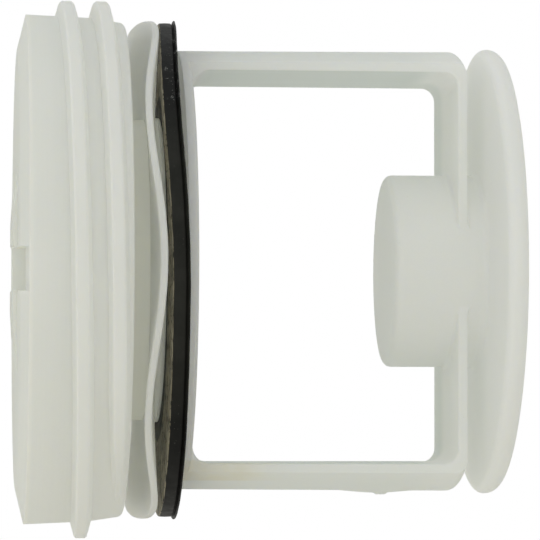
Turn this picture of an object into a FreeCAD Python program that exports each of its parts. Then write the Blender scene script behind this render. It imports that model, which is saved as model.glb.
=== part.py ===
import FreeCAD, Part
import Sketcher
import math
import os

V = FreeCAD.Vector
doc = FreeCAD.newDocument("pump_filter")

# ---------------------------------------------------------------- dimensions
# Axis of the filter is +Z, from the cap's outer face (down) to the end disc (up).
sheet = doc.addObject("Spreadsheet::Sheet", "dims")
ROW = [0]


def dim(alias, value):
    ROW[0] += 1
    sheet.set("A%d" % ROW[0], alias)
    sheet.set("B%d" % ROW[0], str(value))
    sheet.setAlias("B%d" % ROW[0], alias)


# cap
dim("face_z", 0.5)          # flat outer face; the lugs stand below it
dim("face_rad", 27.6)       # where the flat face turns into the sloping shoulder
dim("shoulder_z", 1.6)
dim("cap_rad_low", 32.15)    # wall radius at the outer face
dim("cap_rad_mid", 31.8)
dim("cap_mid_z", 9.6)
dim("cap_rad_top", 31.15)
dim("cap_end_z", 14.0)
dim("cap_in_top", 29.3)     # inner wall radius at the open end
dim("cap_in_low", 29.6)
dim("floor_z", 3.4)         # inside of the closed face
dim("hub_rad", 19.0)
dim("hub_end_z", 16.52)
dim("hub_bore", 15.2)       # lip that the spigot runs in
dim("hub_lip_z", 14.9)
dim("hub_undercut", 17.0)
dim("rim_round", 0.3)
dim("face_round", 4.0)
dim("end_round", 0.75)
# turning lugs and slot on the outer face
dim("slot_half", 2.65)
dim("slot_half_len", 13.0)
dim("slot_floor_z", 4.6)
dim("trough_wall", 1.8)
dim("channel_z", 1.5)       # floor of the shallow channel that crosses the face
dim("lug_land", 5.6)
dim("lug_far", 13.5)
dim("lug_half_len", 10.7)
dim("lug_round", 0.5)
dim("lug_edge", 0.4)
dim("cap_turned_by", 2.2)   # the cap as it stands on the spigot, degrees
dim("web_half", 4.0)        # web across the middle of the slot
dim("web_z", 0.05)
# screw thread
dim("thread_crest", 33.9)
dim("thread_root", 30.6)    # buried in the wall
dim("thread_base", 2.6)
dim("thread_top", 1.45)
dim("thread_lead", 4.34)
dim("thread_z_ref", 6.6)    # rib centre at 180 degrees
dim("thread_start", 138)
dim("thread_full", 168)
dim("thread_fade", 655)
dim("thread_stop", 702)
# wave ring
dim("ring_in", 15.45)
dim("ring_flat", 19.3)
dim("ring_out", 31.45)
dim("ring_low_z", 16.31)    # underside at the rim, between wave and trough
dim("ring_in_z", 16.62)     # underside of the flat inner part
dim("ring_thick", 0.84)
dim("ring_edge", 0.18)
dim("wave_high", 0.8)
dim("wave_count", 5)
dim("ring_sag", 0.68)       # the far half of the rim sits this much nearer to the cap
# gasket
dim("seal_in", 18.95)
dim("seal_out", 31.2)
dim("seal_low_z", 18.5)
dim("seal_top_z", 20.68)
dim("seal_lip", 31.55)
dim("seal_lip_z", 20.2)
dim("seal_neck", 30.95)
dim("seal_neck_z", 19.95)
dim("seal_round", 0.2)
dim("seal_step", 0.06)      # the part outside the plate stands this much higher
dim("seal_step_rad", 28.0)
# insert: spigot, neck, groove, plate
dim("spigot_in", 12.6)
dim("spigot_low_z", 11.5)
dim("spigot_tip", 14.2)
dim("barb_rad", 16.4)
dim("barb_low_z", 13.6)
dim("barb_top_z", 14.7)
dim("spigot_rad", 15.13)
dim("neck_z", 17.55)
dim("neck_rad", 19.0)
dim("flange_low_z", 18.1)
dim("flange_rad", 19.25)
dim("flange_top_z", 18.45)
dim("groove_rad", 18.9)
dim("plate_low_z", 20.68)
dim("plate_rad", 27.75)
dim("frame_flare", 0.2)      # the bars stand this much further out at the crossbar
dim("plate_top_z", 21.88)
dim("plate_in_z", 19.8)
dim("plate_round", 0.4)
dim("finger_slot", 1.5)      # half width of the gaps between the snap fingers
# insert: frame, stub, disc
dim("frame_half", 11.2)
dim("bar_in", 24.2)
dim("cross_low_z", 55.12)
dim("cross_top_z", 56.5)
dim("frame_draft", 1.1)
dim("win_base_z", 22.42)      # foot of the window at the parting line
dim("win_round", 1.8)
dim("foot_round", 2.2)
dim("frame_round", 1.4)
dim("frame_edge", 0.25)
dim("stub_rad", 12.2)
dim("stub_low_z", 47.35)
dim("stub_round", 0.9)
dim("core_rad", 9.6)
dim("core_z", 49.7)
dim("disc_rad", 28.28)
dim("disc_low_z", 59.1)
dim("disc_top_z", 61.75)
dim("disc_round", 1.0)
dim("disc_end_round", 1.55)
dim("stub_foot", 0.8)       # round where the stub meets the disc
dim("stub_web", 0.45)       # round where the stub meets the crossbar
doc.recompute()


def val(alias):
    return float(sheet.get(alias))


# ---------------------------------------------------------------- helpers
def plane(body, role):
    for f in body.Origin.OriginFeatures:
        if f.Role == role:
            return f
    raise RuntimeError("no plane " + role)


def profile(body, name, points, role="XZ_Plane"):
    """Closed straight-sided sketch; each corner is (x, y), where x and y are sheet expressions or 0."""
    sk = body.newObject("Sketcher::SketchObject", name)
    sk.AttachmentSupport = [(plane(body, role), "")]
    sk.MapMode = "FlatFace"

    def num(e):
        if e == 0:
            return 0.0
        t = e
        for a in sorted(ALIASES, key=len, reverse=True):
            t = t.replace("dims." + a, repr(val(a)))
        tot = 0.0
        for piece in t.replace("-", "+-").split("+"):
            if piece.strip():
                tot += float(piece.replace(" ", ""))
        return tot
    pts = [(num(a), num(b)) for a, b in points]
    n = len(pts)
    for i in range(n):
        a, b = pts[i], pts[(i + 1) % n]
        sk.addGeometry(Part.LineSegment(V(a[0], a[1], 0), V(b[0], b[1], 0)), False)
    for i in range(n):
        sk.addConstraint(Sketcher.Constraint("Coincident", i, 2, (i + 1) % n, 1))
    for i, (a, b) in enumerate(points):
        if a == 0:
            sk.addConstraint(Sketcher.Constraint("PointOnObject", i, 1, -2))
        else:
            k = sk.addConstraint(Sketcher.Constraint("DistanceX", -1, 1, i, 1, pts[i][0]))
            sk.setExpression("Constraints[%d]" % k, a)
        if b == 0:
            sk.addConstraint(Sketcher.Constraint("PointOnObject", i, 1, -1))
        else:
            k = sk.addConstraint(Sketcher.Constraint("DistanceY", -1, 1, i, 1, pts[i][1]))
            sk.setExpression("Constraints[%d]" % k, b)
    doc.recompute()
    return sk


ALIASES = [sheet.get("A%d" % r) for r in range(1, ROW[0] + 1)]


def d(alias):
    return "dims." + alias


def revolve(body, name, sk, kind="PartDesign::Revolution"):
    f = body.newObject(kind, name)
    f.Profile = sk
    f.ReferenceAxis = (sk, ["V_Axis"])
    f.Angle = 360
    doc.recompute()
    return f


def ring_edges(shape, spots):
    """Names of the round edges of a given radius and height."""
    found = []
    for i, e in enumerate(shape.Edges):
        c = e.Curve
        if isinstance(c, Part.Circle):
            for r, z in spots:
                if abs(c.Radius - r) < 0.01 and abs(c.Center.z - z) < 0.01:
                    found.append("Edge%d" % (i + 1))
    return found


def near_edges(shape, test):
    """Names of the edges whose ends and middle all meet a test."""
    names = []
    for i, e in enumerate(shape.Edges):
        mid = e.valueAt((e.FirstParameter + e.LastParameter) / 2)
        if len(e.Vertexes) == 2 and all(test(q) for q in (e.Vertexes[0].Point, e.Vertexes[1].Point, mid)):
            names.append("Edge%d" % (i + 1))
    return names


def fillet(body, name, base, edges, expr):
    if not edges:
        raise RuntimeError("no edges for " + name)
    f = body.newObject("PartDesign::Fillet", name)
    f.Base = (base, edges)
    f.Radius = 0.1
    f.setExpression("Radius", expr)
    doc.recompute()
    if "Invalid" in f.State or not f.Shape.isValid() or len(f.Shape.Solids) != 1:
        raise RuntimeError("%s failed on %d edges" % (name, len(edges)))
    return f


# ---------------------------------------------------------------- screw cap
cap = doc.addObject("PartDesign::Body", "cap_body")
sk = profile(cap, "cap_section", [
    (0, d("face_z")), (d("face_rad"), d("face_z")), (d("cap_rad_low"), d("shoulder_z")), (d("cap_rad_mid"), d("cap_mid_z")),
    (d("cap_rad_top"), d("cap_end_z")), (d("cap_in_top"), d("cap_end_z")), (d("cap_in_low"), d("floor_z")),
    (d("hub_rad"), d("floor_z")), (d("hub_rad"), d("hub_end_z")), (d("hub_bore"), d("hub_end_z")),
    (d("hub_bore"), d("hub_lip_z")), (d("hub_undercut"), d("hub_lip_z")), (d("hub_undercut"), d("floor_z")),
    (0, d("floor_z"))])
rev = revolve(cap, "cap_turned", sk)
f1 = fillet(cap, "cap_rim_round", rev, ring_edges(rev.Shape, [(val("face_rad"), val("face_z"))]), d("face_round"))
f2 = fillet(cap, "cap_end_round", f1,
            ring_edges(f1.Shape, [(val("cap_rad_top"), val("cap_end_z")), (val("cap_in_top"), val("cap_end_z"))]),
            d("end_round"))
# trough behind the slot, inside the hub
sk = profile(cap, "trough_outline", [
    ("-dims.slot_half - dims.trough_wall", "-dims.slot_half_len - dims.trough_wall"),
    ("dims.slot_half + dims.trough_wall", "-dims.slot_half_len - dims.trough_wall"),
    ("dims.slot_half + dims.trough_wall", "dims.slot_half_len + dims.trough_wall"),
    ("-dims.slot_half - dims.trough_wall", "dims.slot_half_len + dims.trough_wall")], "XY_Plane")
pad = cap.newObject("PartDesign::Pad", "trough")
pad.Profile = sk
pad.setExpression("Length", "dims.slot_floor_z + dims.trough_wall")
doc.recompute()
# nothing of the trough stays below the outer face
sk = profile(cap, "trough_trim_section", [
    (0, 0), (d("cap_rad_low"), 0), (d("cap_rad_low"), d("face_z")), (0, d("face_z"))])
trim = revolve(cap, "trough_trim", sk, "PartDesign::Groove")
# two ramped turning lugs, each side of the slot
for side, sgn in (("right", ""), ("left", "-")):
    sk = profile(cap, "lug_%s_section" % side, [
        (sgn + "dims.slot_half", d("face_z")), (sgn + "dims.slot_half", 0),
        (sgn + "dims.lug_land", 0), (sgn + "dims.lug_far", d("face_z"))])
    pad = cap.newObject("PartDesign::Pad", "lug_" + side)
    pad.Profile = sk
    pad.Midplane = True
    pad.setExpression("Length", "2 * dims.lug_half_len")
    doc.recompute()
# shallow channel across the whole face
before = cap.Shape.Volume
sk = profile(cap, "channel_outline", [
    ("-dims.slot_half", "-dims.cap_rad_low - dims.lug_land"), ("dims.slot_half", "-dims.cap_rad_low - dims.lug_land"),
    ("dims.slot_half", "dims.cap_rad_low + dims.lug_land"), ("-dims.slot_half", "dims.cap_rad_low + dims.lug_land")], "XY_Plane")
channel = cap.newObject("PartDesign::Pocket", "channel")
channel.Profile = sk
channel.setExpression("Length", d("channel_z"))
channel.Reversed = True
doc.recompute()
if cap.Shape.Volume > before - 100:
    raise RuntimeError("channel cuts nothing")
before = cap.Shape.Volume
sk = profile(cap, "slot_outline", [
    ("-dims.slot_half", "-dims.slot_half_len"), ("dims.slot_half", "-dims.slot_half_len"),
    ("dims.slot_half", "dims.slot_half_len"), ("-dims.slot_half", "dims.slot_half_len")], "XY_Plane")
slot = cap.newObject("PartDesign::Pocket", "slot")
slot.Profile = sk
slot.setExpression("Length", d("slot_floor_z"))
slot.Reversed = True
doc.recompute()
if cap.Shape.Volume > before - 200:
    raise RuntimeError("slot cuts nothing")
# rounded inner edges of the lugs
tip = cap.Tip
fillet(cap, "lug_edges", tip, near_edges(
    tip.Shape, lambda q: abs(abs(q.x) - val("slot_half")) < 0.01 and abs(q.z) < 0.01), d("lug_edge"))
sk = profile(cap, "web_section", [
    ("-dims.slot_half - dims.lug_round", d("web_z")), ("dims.slot_half + dims.lug_round", d("web_z")),
    ("dims.slot_half + dims.lug_round", "dims.slot_floor_z + dims.lug_round"),
    ("-dims.slot_half - dims.lug_round", "dims.slot_floor_z + dims.lug_round")])
web = cap.newObject("PartDesign::Pad", "slot_web")
web.Profile = sk
web.Midplane = True
web.setExpression("Length", "2 * dims.web_half")
doc.recompute()
# the cap has been turned a little on the spigot
cap.setExpression("Placement.Rotation.Angle", "dims.cap_turned_by * 1 deg")
doc.recompute()
if abs(math.degrees(cap.Placement.Rotation.Angle) - val("cap_turned_by")) > 0.01:
    raise RuntimeError("cap is not turned: %s" % cap.Placement)

# one-start right-hand rib thread that fades in and out
sections = []
a0, a1, a2, a3 = val("thread_start"), val("thread_full"), val("thread_fade"), val("thread_stop")
steps = 96
for i in range(steps + 1):
    ang = a0 + (a3 - a0) * i / steps
    grow = min(1.0, (ang - a0) / (a1 - a0), (a3 - ang) / (a3 - a2))
    grow = grow * grow * (3 - 2 * grow)
    zc = val("thread_z_ref") + val("thread_lead") * (ang - 180.0) / 360.0
    wall = val("cap_rad_low") + (val("cap_rad_mid") - val("cap_rad_low")) * (zc - val("shoulder_z")) / (val("cap_mid_z") - val("shoulder_z"))
    top = wall - 0.35 + (val("thread_crest") - wall + 0.35) * grow
    k = 0.45 + 0.55 * grow
    hb, ht = k * val("thread_base") / 2, k * val("thread_top") / 2
    root = val("thread_root")
    spread = (hb - ht) * (wall - root) / (val("thread_crest") - wall)
    outline = [(root, -hb - spread * 0.2), (wall, -hb), (top - 0.2, -ht - 0.06), (top, -ht + 0.17),
               (top, ht - 0.17), (top - 0.2, ht + 0.06), (wall, hb), (root, hb + spread * 0.2)]
    if top - 0.2 <= wall:
        outline[1] = (min(wall, top - 0.23), -hb)
        outline[6] = (min(wall, top - 0.23), hb)
    ca, sa = math.cos(math.radians(ang)), math.sin(math.radians(ang))
    pts = [V(r * ca, r * sa, zc + dz) for r, dz in outline]
    sections.append(Part.makePolygon(pts + [pts[0]]))
rib = doc.addObject("Part::Feature", "thread_rib")
rib.Shape = Part.makeLoft(sections, True, False, False)
cap_node = doc.addObject("Part::Fuse", "cap_with_thread")
cap_node.Base = cap
cap_node.Tool = rib
cap_node.Refine = False
cap_node.Label = "screw_cap"
doc.recompute()

# ---------------------------------------------------------------- wave ring
def wave(ang, share):
    back = (1 - math.cos(ang)) / 2
    t = min(1.0, max(0.0, (back - 0.42) / 0.2))
    sag = val("ring_sag") * t * t * (3 - 2 * t)
    return share * (val("wave_high") * math.cos(val("wave_count") * ang) - sag)


def hoop(rad, z, share):
    n = 120
    # angle 0 of the wave is on the -Y side
    pts = []
    for i in range(n):
        t = 2 * math.pi * i / n
        pts.append(V(rad * math.sin(t), -rad * math.cos(t), z + wave(t, share)))
    c = Part.BSplineCurve()
    c.interpolate(pts, PeriodicFlag=True)
    return c.toShape()


low, thick, edge, flat = val("ring_low_z"), val("ring_thick"), val("ring_edge"), val("ring_in_z")
rin, rfl, rout = val("ring_in"), val("ring_flat"), val("ring_out")
inset = (rout - edge - rfl) / (rout - rfl)
near = flat + (low - flat) * inset
hoops = [hoop(rin, flat, 0), hoop(rfl, flat, 0), hoop(rout - edge, near, inset), hoop(rout, low + edge, 1),
         hoop(rout, low + thick - edge, 1), hoop(rout - edge, near + thick, inset), hoop(rfl, flat + thick, 0),
         hoop(rin, flat + thick, 0)]
faces = [Part.makeRuledSurface(hoops[i], hoops[(i + 1) % len(hoops)]) for i in range(len(hoops))]
ring_solid = Part.makeSolid(Part.makeShell([f for s in faces for f in s.Faces]))
ring_shell = Part.makeCompound(faces)
ring_shell.sewShape(1e-4) if hasattr(ring_shell, "sewShape") else None
if not ring_solid.isValid() or ring_solid.Volume < 0:
    sewn = Part.Shape(ring_shell)
    sewn.sewShape()
    ring_solid = Part.makeSolid(sewn.Shells[0])
if ring_solid.Volume < 0:
    ring_solid.reverse()
ring_node = doc.addObject("Part::Feature", "ring_moulding")
ring_node.Shape = ring_solid
ring_node.Placement = FreeCAD.Placement()
ring_node.Label = "wave_ring"

# ---------------------------------------------------------------- gasket
seal = doc.addObject("PartDesign::Body", "seal_body")
seal.Label = "gasket"
sk = profile(seal, "seal_section", [
    (d("seal_in"), d("seal_low_z")), (d("seal_out"), d("seal_low_z")), (d("seal_out"), "dims.seal_neck_z - 0.15"),
    (d("seal_neck"), d("seal_neck_z")), (d("seal_neck"), "dims.seal_neck_z + 0.1"), (d("seal_lip"), d("seal_lip_z")),
    (d("seal_lip"), "dims.seal_top_z + dims.seal_step - 0.12"), ("dims.seal_lip - 0.12", "dims.seal_top_z + dims.seal_step"),
    (d("seal_step_rad"), "dims.seal_top_z + dims.seal_step"), (d("seal_step_rad"), d("seal_top_z")),
    (d("seal_in"), d("seal_top_z"))])
rev = revolve(seal, "seal_turned", sk)
fillet(seal, "seal_round_edge", rev, ring_edges(rev.Shape, [(val("seal_out"), val("seal_low_z"))]), d("seal_round"))

# ---------------------------------------------------------------- insert
ins = doc.addObject("PartDesign::Body", "insert_body")
ins.Label = "filter_insert"
sk = profile(ins, "neck_section", [
    (0, d("plate_in_z")), (d("spigot_in"), d("plate_in_z")), (d("spigot_in"), d("spigot_low_z")),
    (d("spigot_tip"), d("spigot_low_z")), (d("barb_rad"), d("barb_low_z")), (d("barb_rad"), d("barb_top_z")),
    (d("spigot_rad"), d("barb_top_z")), (d("spigot_rad"), d("neck_z")), (d("neck_rad"), d("neck_z")),
    (d("neck_rad"), d("flange_low_z")), (d("flange_rad"), d("flange_low_z")), (d("flange_rad"), d("flange_top_z")),
    (d("groove_rad"), d("flange_top_z")), (d("groove_rad"), d("plate_low_z")), (d("plate_rad"), d("plate_low_z")),
    (d("plate_rad"), d("plate_top_z")), (0, d("plate_top_z"))])
rev = revolve(ins, "neck_turned", sk)
fillet(ins, "plate_edge", rev, ring_edges(rev.Shape, [(val("plate_rad"), val("plate_top_z"))]), d("plate_round"))
# four gaps turn the spigot into spring fingers
before = ins.Shape.Volume
for name, role in (("fingers_a", "XZ_Plane"), ("fingers_b", "YZ_Plane")):
    sk = profile(ins, name + "_outline", [
        ("-dims.finger_slot", "dims.spigot_low_z - dims.rim_round"),
        ("dims.finger_slot", "dims.spigot_low_z - dims.rim_round"),
        ("dims.finger_slot", "dims.neck_z - dims.rim_round"),
        ("-dims.finger_slot", "dims.neck_z - dims.rim_round")], role)
    cut = ins.newObject("PartDesign::Pocket", name)
    cut.Profile = sk
    cut.Midplane = True
    cut.setExpression("Length", "4 * dims.neck_rad")
    doc.recompute()
if ins.Shape.Volume > before - 20:
    raise RuntimeError("finger gaps cut nothing")
# two-bar frame: flat inner faces with a little draft each way from the parting line
sk = profile(ins, "frame_outline", [
    ("-dims.disc_rad", "dims.plate_top_z - dims.rim_round"), ("dims.disc_rad", "dims.plate_top_z - dims.rim_round"),
    ("dims.disc_rad", d("cross_top_z")), ("-dims.disc_rad", d("cross_top_z"))])
pad = ins.newObject("PartDesign::Pad", "frame_block")
pad.Profile = sk
pad.Midplane = True
pad.setExpression("Length", "2 * dims.frame_half")
doc.recompute()
# the frame is trimmed to the round of the plate
before = ins.Shape.Volume
sk = profile(ins, "frame_trim_section", [
    (d("plate_rad"), d("plate_low_z")), ("dims.disc_rad + dims.disc_rad", d("plate_low_z")),
    ("dims.disc_rad + dims.disc_rad", "dims.cross_top_z + dims.rim_round"),
    ("dims.plate_rad + dims.frame_flare", "dims.cross_top_z + dims.rim_round"),
    (d("plate_rad"), d("plate_top_z"))])
revolve(ins, "frame_trim", sk, "PartDesign::Groove")
if ins.Shape.Volume > before - 20:
    raise RuntimeError("frame trim cuts nothing")


# rounded outer corners of the frame
tip = ins.Tip
fillet(ins, "frame_corners", tip, near_edges(
    tip.Shape, lambda q: abs(q.z - val("cross_top_z")) < 0.01 and math.hypot(q.x, q.y) > val("plate_rad")), d("frame_round"))
# window, wider towards the two open sides
before = ins.Shape.Volume
for name, rev_dir in (("window_front", False), ("window_back", True)):
    sk = profile(ins, name + "_outline", [
        ("-dims.bar_in", d("win_base_z")), ("dims.bar_in", d("win_base_z")),
        ("dims.bar_in", d("cross_low_z")), ("-dims.bar_in", d("cross_low_z"))])
    cut = ins.newObject("PartDesign::Pocket", name)
    cut.Profile = sk
    cut.Reversed = rev_dir
    cut.setExpression("Length", "dims.frame_half + dims.rim_round")
    cut.setExpression("TaperAngle", "dims.frame_draft")
    doc.recompute()
if ins.Shape.Volume > before - 20000:
    raise RuntimeError("window cuts nothing")
# rounded window corners beside the crossbar and at the plate
for name, z, expr in (("window_corners", val("cross_low_z"), d("win_round")), ("window_feet", val("win_base_z"), d("foot_round"))):
    tip = ins.Tip
    fillet(ins, name, tip, near_edges(
        tip.Shape, lambda q: abs(abs(q.x) - val("bar_in")) < 0.4 and abs(q.z - z) < 0.4), expr)
# the window's front and back edges are a little rounded
tip = ins.Tip
fillet(ins, "frame_edges", tip, near_edges(
    tip.Shape, lambda q: abs(abs(q.y) - val("frame_half")) < 0.005 and abs(q.x) < val("bar_in") + 0.6
    and val("plate_top_z") + 0.1 < q.z < val("cross_low_z") + 0.6), d("frame_edge"))
# stub and end disc, cored from the disc side
sk = profile(ins, "stub_section", [
    (0, d("stub_low_z")), (d("stub_rad"), d("stub_low_z")), (d("stub_rad"), d("disc_low_z")),
    (d("disc_rad"), d("disc_low_z")), (d("disc_rad"), d("disc_top_z")), (0, d("disc_top_z"))])
revolve(ins, "stub_turned", sk)
before = ins.Shape.Volume
sk = profile(ins, "core_section", [
    (0, d("core_z")), (d("core_rad"), d("core_z")), ("dims.core_rad + 0.15", "dims.disc_top_z + dims.rim_round"),
    (0, "dims.disc_top_z + dims.rim_round")])
rev = revolve(ins, "stub_core", sk, "PartDesign::Groove")
if ins.Shape.Volume > before - 3000:
    raise RuntimeError("stub core cuts nothing")
f1 = fillet(ins, "stub_edge", rev, ring_edges(rev.Shape, [(val("stub_rad"), val("stub_low_z"))]), d("stub_round"))
f2 = fillet(ins, "disc_edges", f1,
            ring_edges(f1.Shape, [(val("disc_rad"), val("disc_low_z"))]), d("disc_round"))
f3 = fillet(ins, "disc_end_edge", f2,
            ring_edges(f2.Shape, [(val("disc_rad"), val("disc_top_z"))]), d("disc_end_round"))
f4 = fillet(ins, "stub_foot_round", f3,
            ring_edges(f3.Shape, [(val("stub_rad"), val("disc_low_z"))]), d("stub_foot"))
f5 = fillet(ins, "stub_web_round", f4, near_edges(
    f4.Shape, lambda q: abs(math.hypot(q.x, q.y) - val("stub_rad")) < 0.02
    and (abs(q.z - val("cross_top_z")) < 0.01 or abs(q.z - val("cross_low_z")) < 0.4)), d("stub_web"))
doc.recompute()

# ---------------------------------------------------------------- checks and files
for o in doc.Objects:
    if "Invalid" in o.State or "Error" in o.State:
        raise RuntimeError("failed: %s %s" % (o.Name, o.State))
nodes = [cap_node, ring_node, seal, ins]
for o in nodes:
    s = o.Shape
    if s.isNull() or not s.isValid() or len(s.Solids) != 1:
        raise RuntimeError("bad shape: %s null=%s valid=%s solids=%d" % (o.Label, s.isNull(), s.isValid(), len(s.Solids)))
os.makedirs("parts", exist_ok=True)
for o in nodes:
    o.Shape.exportStep("parts/%s.step" % o.Label)
    b = o.Shape.BoundBox
    print(o.Label, "volume %.1f mm3" % o.Shape.Volume, "x %.2f..%.2f y %.2f..%.2f z %.2f..%.2f" % (
        b.XMin, b.XMax, b.YMin, b.YMax, b.ZMin, b.ZMax))
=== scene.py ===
import math

import bpy
import bmesh
from mathutils import Matrix, Vector


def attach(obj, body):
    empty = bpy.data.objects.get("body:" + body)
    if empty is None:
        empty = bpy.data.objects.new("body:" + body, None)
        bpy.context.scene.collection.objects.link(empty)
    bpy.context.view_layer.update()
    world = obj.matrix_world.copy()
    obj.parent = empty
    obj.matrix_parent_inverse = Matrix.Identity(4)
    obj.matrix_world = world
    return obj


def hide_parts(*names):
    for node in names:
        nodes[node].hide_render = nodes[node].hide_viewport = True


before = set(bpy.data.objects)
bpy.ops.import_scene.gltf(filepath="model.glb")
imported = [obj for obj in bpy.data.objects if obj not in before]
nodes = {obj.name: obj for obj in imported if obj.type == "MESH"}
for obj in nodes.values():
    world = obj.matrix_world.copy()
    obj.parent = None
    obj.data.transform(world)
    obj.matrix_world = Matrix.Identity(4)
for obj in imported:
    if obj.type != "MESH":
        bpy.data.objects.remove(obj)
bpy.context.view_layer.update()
scene = bpy.context.scene
TENT = 0.745


# ------------------------------------------------------------------ node helpers
def new_material(name):
    m = bpy.data.materials.new(name)
    m.use_nodes = True
    nt = m.node_tree
    nt.nodes.clear()
    out = nt.nodes.new("ShaderNodeOutputMaterial")
    bsdf = nt.nodes.new("ShaderNodeBsdfPrincipled")
    nt.links.new(bsdf.outputs["BSDF"], out.inputs["Surface"])
    return m, nt, bsdf


def noise(nt, vec, scale, detail=4.0, rough=0.55, dist=0.0):
    n = nt.nodes.new("ShaderNodeTexNoise")
    n.inputs["Scale"].default_value = scale
    n.inputs["Detail"].default_value = detail
    n.inputs["Roughness"].default_value = rough
    n.inputs["Distortion"].default_value = dist
    nt.links.new(vec, n.inputs["Vector"])
    return n.outputs["Fac"]


def ramp(nt, fac, stops, mode="LINEAR"):
    r = nt.nodes.new("ShaderNodeValToRGB")
    r.color_ramp.interpolation = mode
    el = r.color_ramp.elements
    while len(el) < len(stops):
        el.new(0.5)
    for e, (p, c) in zip(el, stops):
        e.position = p
        e.color = (c[0], c[1], c[2], 1.0) if isinstance(c, tuple) else (c, c, c, 1.0)
    nt.links.new(fac, r.inputs["Fac"])
    return r.outputs["Color"]


def math_node(nt, op, a, b=None, c=None, clamp=False):
    n = nt.nodes.new("ShaderNodeMath")
    n.operation = op
    n.use_clamp = clamp
    for i, v in enumerate((a, b, c)):
        if v is None:
            continue
        if isinstance(v, (int, float)):
            n.inputs[i].default_value = v
        else:
            nt.links.new(v, n.inputs[i])
    return n.outputs[0]


def mix_color(nt, fac, a, b, mode="MIX"):
    n = nt.nodes.new("ShaderNodeMix")
    n.data_type = "RGBA"
    n.blend_type = mode
    n.clamp_factor = True
    for name, v in (("Factor", fac), ("A", a), ("B", b)):
        s = [i for i in n.inputs if i.name == name and (i.type == "RGBA" or name == "Factor" and i.type == "VALUE")][0]
        if isinstance(v, tuple):
            s.default_value = (v[0], v[1], v[2], 1.0)
        elif isinstance(v, (int, float)):
            s.default_value = v
        else:
            nt.links.new(v, s)
    return [o for o in n.outputs if o.type == "RGBA"][0]


def bump(nt, bsdf, height, strength, distance):
    b = nt.nodes.new("ShaderNodeBump")
    b.inputs["Strength"].default_value = strength
    b.inputs["Distance"].default_value = distance
    nt.links.new(height, b.inputs["Height"])
    nt.links.new(b.outputs["Normal"], bsdf.inputs["Normal"])


def coords(nt):
    tc = nt.nodes.new("ShaderNodeTexCoord")
    return tc.outputs["Object"]


# ------------------------------------------------------------------ materials
def band(nt, v, lo, hi):
    """0 below lo, 1 above hi (or the other way round where lo is larger)."""
    n = nt.nodes.new("ShaderNodeMapRange")
    n.interpolation_type = "SMOOTHSTEP"
    nt.links.new(v, n.inputs["Value"])
    n.inputs["From Min"].default_value = min(lo, hi)
    n.inputs["From Max"].default_value = max(lo, hi)
    n.inputs["To Min"].default_value = 0.0 if lo < hi else 1.0
    n.inputs["To Max"].default_value = 1.0 if lo < hi else 0.0
    return n.outputs["Result"]


def product(nt, *parts):
    out = parts[0]
    for q in parts[1:]:
        out = math_node(nt, "MULTIPLY", out, q)
    return out


def place(nt):
    """Position, distance from the axis and normal of the surface, in the part's own frame."""
    tc = nt.nodes.new("ShaderNodeTexCoord")
    at = nt.nodes.new("ShaderNodeSeparateXYZ")
    nt.links.new(tc.outputs["Object"], at.inputs[0])
    nr = nt.nodes.new("ShaderNodeSeparateXYZ")
    nt.links.new(tc.outputs["Normal"], nr.inputs[0])
    r2 = math_node(nt, "ADD", math_node(nt, "MULTIPLY", at.outputs[0], at.outputs[0]),
                   math_node(nt, "MULTIPLY", at.outputs[1], at.outputs[1]))
    return at.outputs, math_node(nt, "SQRT", r2), nr.outputs


def neck_painted_light(nt, col):
    """Painted light: the neck between cap and seal is painted almost white, standing in for light that comes through
    the milky walls into this crevice.
    """
    at, rad, nr = place(nt)
    m = product(nt, band(nt, rad, 0.0206, 0.0200), band(nt, at[2], 0.0110, 0.0120), band(nt, at[2], 0.0188, 0.0186))
    return mix_color(nt, m, col, (0.996, 0.993, 0.972))


def cap_rings_and_painted_light(nt, col):
    """Fine rings from the turned mould; painted light: the thread's crest, the edge of the face and the wall towards
    the open end are painted whiter.
    """
    at, rad, nr = place(nt)
    ring = nt.nodes.new("ShaderNodeCombineXYZ")
    nt.links.new(at[2], ring.inputs[0])
    nt.links.new(rad, ring.inputs[1])
    lines = ramp(nt, noise(nt, ring.outputs[0], 3400.0, 3.0, 0.6), [(0.35, 0.0), (0.72, 1.0)])
    col = mix_color(nt, math_node(nt, "MULTIPLY", lines, 0.14), col, (0.88, 0.885, 0.86))
    # painted light: the wall towards the open end is painted whiter, standing in for light coming through it from the
    # hollow
    col = mix_color(nt, product(nt, band(nt, at[2], 0.0070, 0.0095), 0.75), col, (0.990, 0.992, 0.980))
    # painted light on the thread's crest; painted highlight along the edge of the face
    crest = band(nt, rad, 0.03345, 0.03375)
    rim = product(nt, band(nt, rad, 0.03175, 0.03200), band(nt, at[2], 0.0013, 0.0015), band(nt, at[2], 0.0021, 0.00185))
    col = mix_color(nt, crest, col, (0.994, 0.995, 0.985))
    col = mix_color(nt, rim, col, (0.995, 0.993, 0.965))
    return neck_painted_light(nt, col)


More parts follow.
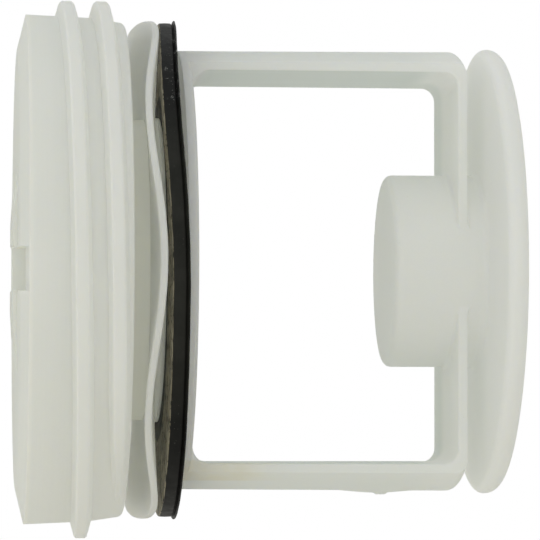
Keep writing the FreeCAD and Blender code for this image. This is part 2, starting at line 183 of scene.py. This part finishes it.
def window_painted_shade_and_stain(nt, col):
    """Painted shade: a faint grey-green darkening painted on the faces of the frame's window."""
    at, rad, nr = place(nt)
    inside = product(nt, band(nt, math_node(nt, "ABSOLUTE", at[0]), 0.0250, 0.0247), band(nt, at[2], 0.0226, 0.0246),
                     band(nt, at[2], 0.0556, 0.0553), band(nt, rad, 0.0122, 0.0126),
                     band(nt, math_node(nt, "ABSOLUTE", nr[1]), 0.75, 0.4))
    # less painted shade on the near half of the crossbar, which turns a little towards the front
    near = math_node(nt, "MULTIPLY_ADD", band(nt, at[1], 0.0060, -0.0010), 0.66, 0.34)
    shade_weight = math_node(nt, "MULTIPLY_ADD", product(nt, band(nt, at[2], 0.0500, 0.0540), near), -1.0, 1.0)
    # painted shade: the window's faces are mixed towards grey-green
    col = mix_color(nt, product(nt, inside, shade_weight, 0.9), col, (0.775, 0.82, 0.797))
    # tea-coloured stain on one bar beside the plate
    stain = product(nt, band(nt, at[0], 0.0237, 0.0242), band(nt, at[0], 0.0268, 0.0264), band(nt, at[2], 0.0345, 0.0265),
                    band(nt, at[1], -0.0078, -0.0083), ramp(nt, noise(nt, coords(nt), 210.0, 4.0, 0.6, 0.5), [(0.25, 0.25), (0.7, 1.0)]))
    col = mix_color(nt, math_node(nt, "MULTIPLY", stain, 0.8), col, (0.90, 0.85, 0.71))
    return neck_painted_light(nt, col)


def plastic(name, low, high, rough=(0.34, 0.46), sss=0.6, reach=0.0011, through=0.5, extra=None):
    m, nt, bsdf = new_material(name)
    p = coords(nt)
    cloud = noise(nt, p, 62.0, 3.0, 0.5, 0.3)
    col = ramp(nt, cloud, [(0.32, low), (0.68, high)])
    # fine dust-sized flecks in the resin
    fleck = noise(nt, p, 2600.0, 2.0, 0.5)
    fl = ramp(nt, fleck, [(0.74, 0.0), (0.80, 0.22)])
    col = mix_color(nt, fl, col, (low[0] * 0.72, low[1] * 0.70, low[2] * 0.62))
    # fine grain of the moulded skin
    grain = ramp(nt, noise(nt, p, 3000.0, 2.0, 0.5), [(0.34, 0.0), (0.66, 1.0)])
    col = mix_color(nt, math_node(nt, "MULTIPLY", grain, 0.12), col, (low[0] * 0.94, low[1] * 0.94, low[2] * 0.94))
    if extra:
        col = extra(nt, col)
    nt.links.new(col, bsdf.inputs["Base Color"])
    rr = ramp(nt, noise(nt, p, 240.0, 5.0, 0.6), [(0.3, rough[0]), (0.7, rough[1])])
    nt.links.new(rr, bsdf.inputs["Roughness"])
    bsdf.inputs["IOR"].default_value = 1.49
    bsdf.inputs["Subsurface Weight"].default_value = sss
    bsdf.inputs["Subsurface Radius"].default_value = (1.0, 0.92, 0.68)
    bsdf.inputs["Subsurface Scale"].default_value = reach
    h = math_node(nt, "ADD", math_node(nt, "MULTIPLY", noise(nt, p, 900.0, 4.0, 0.6), 0.7),
                  math_node(nt, "MULTIPLY", noise(nt, p, 130.0, 2.0, 0.5), 1.6))
    bump(nt, bsdf, h, 0.16, 0.00006)
    # milky resin: part of the light goes through the wall
    milk = nt.nodes.new("ShaderNodeBsdfTranslucent")
    nt.links.new(col, milk.inputs["Color"])
    both = nt.nodes.new("ShaderNodeMixShader")
    both.inputs[0].default_value = through
    out = [n for n in nt.nodes if n.type == "OUTPUT_MATERIAL"][0]
    nt.links.new(bsdf.outputs[0], both.inputs[1])
    nt.links.new(milk.outputs[0], both.inputs[2])
    nt.links.new(both.outputs[0], out.inputs["Surface"])
    return m


white_cap = plastic("natural_pp_cap", (0.947, 0.954, 0.936), (0.966, 0.971, 0.957), through=0.52, extra=cap_rings_and_painted_light)
white_insert = plastic("natural_pp_insert", (0.960, 0.967, 0.950), (0.979, 0.983, 0.972), extra=window_painted_shade_and_stain)
white_ring = plastic("natural_pp_ring", (0.980, 0.984, 0.968), (0.990, 0.992, 0.982), through=0.55)


def rubber(name):
    m, nt, bsdf = new_material(name)
    tc = nt.nodes.new("ShaderNodeTexCoord")
    p = tc.outputs["Object"]
    at = nt.nodes.new("ShaderNodeSeparateXYZ")
    nt.links.new(p, at.inputs[0])
    nz = nt.nodes.new("ShaderNodeSeparateXYZ")
    nt.links.new(tc.outputs["Normal"], nz.inputs[0])
    base = ramp(nt, noise(nt, p, 300.0, 5.0, 0.6), [(0.3, (0.0115, 0.012, 0.0098)), (0.75, (0.0225, 0.023, 0.0195))])
    # painted shade: the rubber is painted blacker towards ±X, where it lies in shade beside the neck
    ends_painted_shade = band(nt, math_node(nt, "ABSOLUTE", at.outputs[0]), 0.0130, 0.0210)
    base = mix_color(nt, math_node(nt, "MULTIPLY", ends_painted_shade, 0.8), base, (0.003, 0.0032, 0.0034))
    # pale dust specks on the rim
    speck = ramp(nt, noise(nt, p, 3200.0, 2.0, 0.5), [(0.68, 0.0), (0.76, 1.0)])
    patch = ramp(nt, noise(nt, p, 120.0, 3.0, 0.55), [(0.44, 0.0), (0.66, 1.0)])
    col = mix_color(nt, math_node(nt, "MULTIPLY", math_node(nt, "MULTIPLY", speck, patch), 0.5), base, (0.17, 0.17, 0.15))
    # rubbed patch on one part of the rim
    rub = math_node(nt, "MULTIPLY", band(nt, at.outputs[0], -0.0175, -0.0215), band(nt, at.outputs[0], -0.0300, -0.0270))
    rub = math_node(nt, "MULTIPLY", rub, band(nt, at.outputs[2], 0.0179, 0.0186))
    rub = math_node(nt, "MULTIPLY", rub, ramp(nt, noise(nt, p, 760.0, 6.0, 0.7, 1.2), [(0.58, 0.0), (0.63, 1.0)]))
    col = mix_color(nt, math_node(nt, "MULTIPLY", rub, 0.8), col, (0.26, 0.265, 0.25))
    # the face towards the cap is grey-brown with dried dirt and dark flecks
    r2 = math_node(nt, "ADD", math_node(nt, "MULTIPLY", at.outputs[0], at.outputs[0]),
                   math_node(nt, "MULTIPLY", at.outputs[1], at.outputs[1]))
    # none of it by the neck, where the face is painted near-black as shade instead
    edge = math_node(nt, "MULTIPLY_ADD", noise(nt, p, 350.0, 3.0, 0.6), 0.0016, math_node(nt, "SQRT", r2))
    face = product(nt, band(nt, nz.outputs[2], -0.45, -0.85), band(nt, at.outputs[2], 0.0194, 0.0190), band(nt, edge, 0.0223, 0.0228))
    dirt = ramp(nt, noise(nt, p, 260.0, 5.0, 0.62, 0.5), [(0.28, (0.125, 0.110, 0.074)), (0.72, (0.37, 0.335, 0.245))])
    fleck = ramp(nt, noise(nt, p, 640.0, 4.0, 0.6), [(0.56, 0.0), (0.60, 1.0)])
    dirt = mix_color(nt, fleck, dirt, (0.012, 0.0115, 0.009))
    crack = nt.nodes.new("ShaderNodeTexVoronoi")
    crack.feature = "DISTANCE_TO_EDGE"
    crack.inputs["Scale"].default_value = 330.0
    nt.links.new(p, crack.inputs["Vector"])
    dirt = mix_color(nt, math_node(nt, "MULTIPLY", band(nt, crack.outputs["Distance"], 0.045, 0.012), 0.6), dirt, (0.02, 0.019, 0.014))
    # painted shade: the rubber by the neck is painted near-black
    col = mix_color(nt, band(nt, edge, 0.0230, 0.0224), col, (0.002, 0.002, 0.0018))
    col = mix_color(nt, face, col, dirt)
    nt.links.new(col, bsdf.inputs["Base Color"])
    rr = ramp(nt, noise(nt, p, 500.0, 4.0, 0.6), [(0.3, 0.42), (0.7, 0.62)])
    nt.links.new(rr, bsdf.inputs["Roughness"])
    bsdf.inputs["IOR"].default_value = 1.52
    bsdf.inputs["Specular IOR Level"].default_value = 0.13
    h = math_node(nt, "ADD", noise(nt, p, 1500.0, 5.0, 0.65), math_node(nt, "MULTIPLY", noise(nt, p, 180.0, 3.0, 0.5), 1.5))
    bump(nt, bsdf, h, 0.35, 0.00005)
    return m


black = rubber("black_rubber")


def dress(node, mat):
    o = nodes[node]
    if not o.material_slots:
        o.data.materials.append(mat)
    for s in o.material_slots:
        s.material = mat


dress("screw_cap", white_cap)
dress("filter_insert", white_insert)
dress("wave_ring", white_ring)


# ------------------------------------------------------------------ made pieces
def add_mesh(name, verts, faces, mat, body, sharp=35.0):
    me = bpy.data.meshes.new(name)
    me.from_pydata(verts, [], faces)
    me.validate()
    bm = bmesh.new()
    bm.from_mesh(me)
    bmesh.ops.recalc_face_normals(bm, faces=bm.faces)
    for e in bm.edges:
        e.smooth = e.calc_face_angle(0.0) < math.radians(sharp)
    for f in bm.faces:
        f.smooth = True
    bm.to_mesh(me)
    bm.free()
    o = bpy.data.objects.new(name, me)
    scene.collection.objects.link(o)
    me.materials.append(mat)
    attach(o, body)
    return o


def curve_at(table, x):
    """Smooth reading of a table of (angle, value) pairs."""
    for (x0, y0), (x1, y1) in zip(table, table[1:]):
        if x0 <= x <= x1:
            t = (x - x0) / (x1 - x0)
            t = t * t * (3 - 2 * t) * 0.35 + t * 0.65
            return y0 + (y1 - y0) * t
    return 0.0


def step(v, lo, hi):
    t = min(1.0, max(0.0, (v - lo) / (hi - lo)))
    return t * t * (3 - 2 * t)


# The soft seal has crept towards the cap over about a quarter of its rim (angle 0 faces -Y, +90 faces -X; mm).
CREEP = [(-180, 0.0), (-6, 0.0), (4.5, -0.13), (11, -0.27), (17, -0.43), (24, -0.61), (31, -0.78), (39, -0.88),
         (48, -0.91), (60, -0.76), (72, -0.47), (90, -0.20), (115, -0.05), (150, 0.0), (180, 0.0)]


def seal_mesh():
    lo, hi = 18.58, 20.64
    rim = [(31.02, lo + 0.000), (31.12, lo + 0.025), (31.18, lo + 0.085), (31.20, lo + 0.17)]
    prof = [(18.95, 18.5), (19.3, 18.5), (20.2, 18.505), (21.2, 18.52)]
    prof += [(21.2 + (30.7 - 21.2) * i / 10, 18.52 + (lo - 18.52) * min(1.0, i / 6)) for i in range(1, 11)]
    prof += [(30.9, lo)] + rim
    prof += [(31.2 + 0.03 * math.sin(math.pi * i / 8), lo + 0.17 + (20.08 - lo - 0.17) * i / 8) for i in range(1, 9)]
    prof += [(31.16, 20.13), (31.04, 20.18), (30.95, 20.23), (30.92, 20.28), (30.95, 20.33), (31.08, 20.38),
             (31.30, 20.41), (31.46, 20.44), (31.53, 20.48), (31.55, 20.53), (31.53, 20.58), (31.48, 20.62), (31.38, hi)]
    prof += [(31.1, hi), (30.4, hi), (29.4, hi), (28.6, hi), (28.0, 20.65), (26.0, 20.66), (23.0, 20.67), (20.2, 20.67), (18.95, 20.67)]
    n = 480
    verts, faces = [], []
    for i in range(n):
        a = 360.0 * i / n - 180.0
        t = math.radians(a)
        d = curve_at(CREEP, a)
        # small unevenness of a used seal
        d2 = 0.012 * math.sin(7 * t + 0.6) + 0.008 * math.sin(17 * t + 2.0) + 0.005 * math.sin(41 * t)
        for r, z in prof:
            w = step(r, 20.6, 28.6)
            rr = r + (0.008 * math.sin(23 * t + 1.0) + 0.006 * math.sin(37 * t)) * step(r, 29.0, 30.5)
            rr = min(rr, 31.56)
            zz = z + d * w
            zz += d2 * w if z > 18.6 or d < -0.05 else d2 * w * 0.3
            verts.append((-rr * math.sin(t) * 0.001, -rr * math.cos(t) * 0.001, min(zz, 20.70) * 0.001))
    m = len(prof)
    for i in range(n):
        j = (i + 1) % n
        for k in range(m):
            q = (k + 1) % m
            faces.append((i * m + k, j * m + k, j * m + q, i * m + q))
    o = add_mesh("rubber_seal", verts, faces, black, "insert")
    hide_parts("gasket")
    return o


seal_mesh()


def gate_mesh():
    """Low round swelling with a nib where the insert's moulding was cut from its sprue, on the outside of the +X bar."""
    verts, faces = [], []
    rings, n = 30, 96
    cz = 46.2

    def put(y, z, h):
        rad = 27.75 + 0.2 * (z - 21.88) / 34.92 + h
        a = y / 27.9
        verts.append((rad * math.cos(a) * 0.001, rad * math.sin(a) * 0.001, z * 0.001))

    def height(y, z):
        q = min(1.0, math.hypot(y, z - cz) / 5.7)
        h = 0.33 * (1 - q * q) ** 2 - 0.03
        nib = math.hypot(y, z - 46.9)
        h += 0.22 * (1 - step(nib, 0.62, 0.95))
        # the nib is a torn stump, a little uneven
        if nib < 0.7:
            h += 0.03 * math.sin(5.0 * y + 1.0) * math.cos(6.0 * (z - 46.9))
        return h

    put(0.0, cz, height(0.0, cz))
    for i in range(1, rings + 1):
        q = 5.7 * i / rings
        for k in range(n):
            t = 2 * math.pi * k / n
            y, z = q * math.sin(t), cz + q * math.cos(t)
            put(y, z, height(y, z))
    for k in range(n):
        faces.append((0, 1 + k, 1 + (k + 1) % n))
    for i in range(1, rings):
        for k in range(n):
            a, b = 1 + (i - 1) * n + k, 1 + (i - 1) * n + (k + 1) % n
            faces.append((a, a + n, b + n, b))
    # closed underneath, inside the bar
    base = len(verts)
    for k in range(n):
        t = 2 * math.pi * k / n
        put(5.5 * math.sin(t), cz + 5.5 * math.cos(t), -0.25)
    put(0.0, cz, -0.25)
    last = 1 + (rings - 1) * n
    for k in range(n):
        j = (k + 1) % n
        faces.append((last + k, base + k, base + j, last + j))
        faces.append((base + k, len(verts) - 1, base + j))
    return add_mesh("gate_mark", verts, faces, white_insert, "insert", 60.0)


gate_mesh()

# ------------------------------------------------------------------ floor, light, camera
me = bpy.data.meshes.new("floor")
bm = bmesh.new()
bmesh.ops.create_grid(bm, x_segments=2, y_segments=2, size=3.0)
bm.to_mesh(me)
bm.free()
floor = bpy.data.objects.new("floor", me)
scene.collection.objects.link(floor)
floor.location.z = -0.00005
fm = bpy.data.materials.new("pale_floor")
fm.use_nodes = True
nt = fm.node_tree
nt.nodes.clear()
out = nt.nodes.new("ShaderNodeOutputMaterial")
dif = nt.nodes.new("ShaderNodeBsdfDiffuse")
col = ramp(nt, noise(nt, coords(nt), 30.0, 3.0), [(0.3, (0.945, 0.945, 0.94)), (0.7, (0.965, 0.965, 0.96))])
nt.links.new(col, dif.inputs["Color"])
# seen from beneath, the floor lets the view through
clear = nt.nodes.new("ShaderNodeBsdfTransparent")
geo = nt.nodes.new("ShaderNodeNewGeometry")
mixs = nt.nodes.new("ShaderNodeMixShader")
nt.links.new(geo.outputs["Backfacing"], mixs.inputs[0])
nt.links.new(dif.outputs[0], mixs.inputs[1])
nt.links.new(clear.outputs[0], mixs.inputs[2])
nt.links.new(mixs.outputs[0], out.inputs["Surface"])
floor.data.materials.append(fm)
floor.visible_shadow = False
floor.visible_diffuse = False
floor.visible_glossy = False

world = bpy.data.worlds.new("studio")
scene.world = world
world.use_nodes = True
nt = world.node_tree
nt.nodes.clear()
wo = nt.nodes.new("ShaderNodeOutputWorld")
# even white tent for the light: cooler from -X, warmer and weaker from +X, a little stronger in front (-Y)
wc = nt.nodes.new("ShaderNodeTexCoord")
sp = nt.nodes.new("ShaderNodeSeparateXYZ")
nt.links.new(wc.outputs["Generated"], sp.inputs[0])
across = math_node(nt, "MULTIPLY_ADD", sp.outputs[0], 0.5, 0.5)
tint = ramp(nt, across, [(0.0, (0.975, 1.0, 1.0)), (1.0, (1.0, 0.982, 0.875))])
front = math_node(nt, "MULTIPLY_ADD", sp.outputs[1], -0.04, TENT)
side = math_node(nt, "MULTIPLY_ADD", sp.outputs[2], -0.16, front)
sides = math_node(nt, "MULTIPLY_ADD", math_node(nt, "MULTIPLY", sp.outputs[0], sp.outputs[0]), -0.06, side)
power = math_node(nt, "MULTIPLY_ADD", sp.outputs[0], -0.03, sides)
soft = nt.nodes.new("ShaderNodeBackground")
nt.links.new(tint, soft.inputs["Color"])
nt.links.new(power, soft.inputs["Strength"])
plain = nt.nodes.new("ShaderNodeBackground")
plain.inputs["Color"].default_value = (1.0, 1.0, 1.0, 1.0)
plain.inputs["Strength"].default_value = 1.0
lp = nt.nodes.new("ShaderNodeLightPath")
mx = nt.nodes.new("ShaderNodeMixShader")
nt.links.new(lp.outputs["Is Camera Ray"], mx.inputs[0])
nt.links.new(soft.outputs[0], mx.inputs[1])
nt.links.new(plain.outputs[0], mx.inputs[2])
nt.links.new(mx.outputs[0], wo.inputs["Surface"])


def area(name, loc, target, size, power, color=(1, 1, 1)):
    d = bpy.data.lights.new(name, "AREA")
    d.shape = "DISK"
    d.size = size
    d.energy = power
    d.color = color
    o = bpy.data.objects.new(name, d)
    o.location = loc
    o.rotation_euler = (Vector(target) - Vector(loc)).to_track_quat("-Z", "Y").to_euler()
    scene.collection.objects.link(o)
    return o


mid = (0.0, 0.0, 0.031)
area("key", (-0.40, -0.60, 0.05), mid, 0.8, 0.35)

cam_d = bpy.data.cameras.new("camera")
cam_d.sensor_fit = "HORIZONTAL"
cam_d.sensor_width = 36.0
cam_d.lens = 3616.15 / 540.0 * 36.0
cam_d.clip_start = 0.01
cam_d.clip_end = 20.0
cam = bpy.data.objects.new("camera", cam_d)
scene.collection.objects.link(cam)
scene.camera = cam
eye = Vector((0.0197028, -0.4575903, -0.0081093))
aim = Vector((-0.0000722, 0.0, 0.0328))
fw = (aim - eye).normalized()
right = fw.cross(Vector((-1.0, 0.0, 0.0))).normalized()
up = right.cross(fw)
roll = 0.001
r2 = right * math.cos(roll) + up * math.sin(roll)
u2 = up * math.cos(roll) - right * math.sin(roll)
cam.matrix_world = Matrix(((r2.x, u2.x, -fw.x, eye.x), (r2.y, u2.y, -fw.y, eye.y), (r2.z, u2.z, -fw.z, eye.z), (0, 0, 0, 1)))

scene.view_settings.view_transform = "Standard"
scene.view_settings.look = "None"
scene.cycles.diffuse_bounces = 12
scene.cycles.max_bounces = 24
